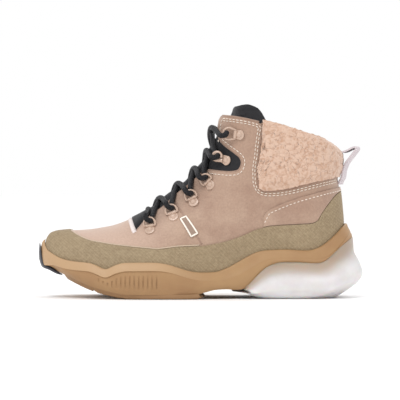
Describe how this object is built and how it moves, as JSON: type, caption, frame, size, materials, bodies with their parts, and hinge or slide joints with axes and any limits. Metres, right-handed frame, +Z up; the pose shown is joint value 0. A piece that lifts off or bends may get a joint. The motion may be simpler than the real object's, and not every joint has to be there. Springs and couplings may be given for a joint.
{
  "type": "lace-up ankle boot",
  "caption": "Left lace-up ankle boot: leather upper with a fleece collar, textured rand, D-ring lacing, and a foam cup sole on a frosted heel.",
  "frame": {"origin": "on the floor under the middle of the boot's box", "axes": "-X towards the toe, +X towards the heel, -Y towards the outer side of the foot, +Z up"},
  "size_m": [0.2951, 0.1079, 0.1724],
  "materials": {
    "leather": "smooth nubuck, matt",
    "rand": "textured, matt",
    "fleece": "curly pile",
    "foam": "moulded foam, satin",
    "tread": "moulded rubber, matt",
    "toe_rubber": "moulded rubber, matt",
    "clear_heel": "frosted, translucent",
    "tongue_cloth": "padded cloth, matt",
    "stretch_cloth": "stretch knit, matt",
    "lace": "braided, matt",
    "painted_metal": "satin paint",
    "webbing": "woven tape",
    "label": "woven, bare",
    "footbed": "brushed cloth"
  },
  "bodies": {
    "root": {"upper": "leather", "rand": "rand", "heel_counter": "leather", "collar_fleece": "fleece", "flex_panel_lateral": "stretch_cloth", "flex_panel_medial": "stretch_cloth", "tongue": "tongue_cloth", "midsole": "foam", "outsole_forefoot": "tread", "toe_bumper": "toe_rubber", "heel_unit": "clear_heel", "insole": "footbed", "pull_loop": "webbing", "side_label": "label", "dring_1_lateral": "painted_metal", "dring_2_lateral": "painted_metal", "dring_3_lateral": "painted_metal", "dring_4_lateral": "painted_metal", "hook_5_lateral": "painted_metal", "dring_6_lateral": "painted_metal", "dring_1_medial": "painted_metal", "dring_2_medial": "painted_metal", "dring_3_medial": "painted_metal", "dring_4_medial": "painted_metal", "hook_5_medial": "painted_metal", "dring_6_medial": "painted_metal", "lace_bar_1": "lace", "lace_cross_1": "lace", "lace_cross_2": "lace", "lace_cross_3": "lace", "lace_cross_4": "lace", "lace_cross_5": "lace"}
  },
  "joints": []
}
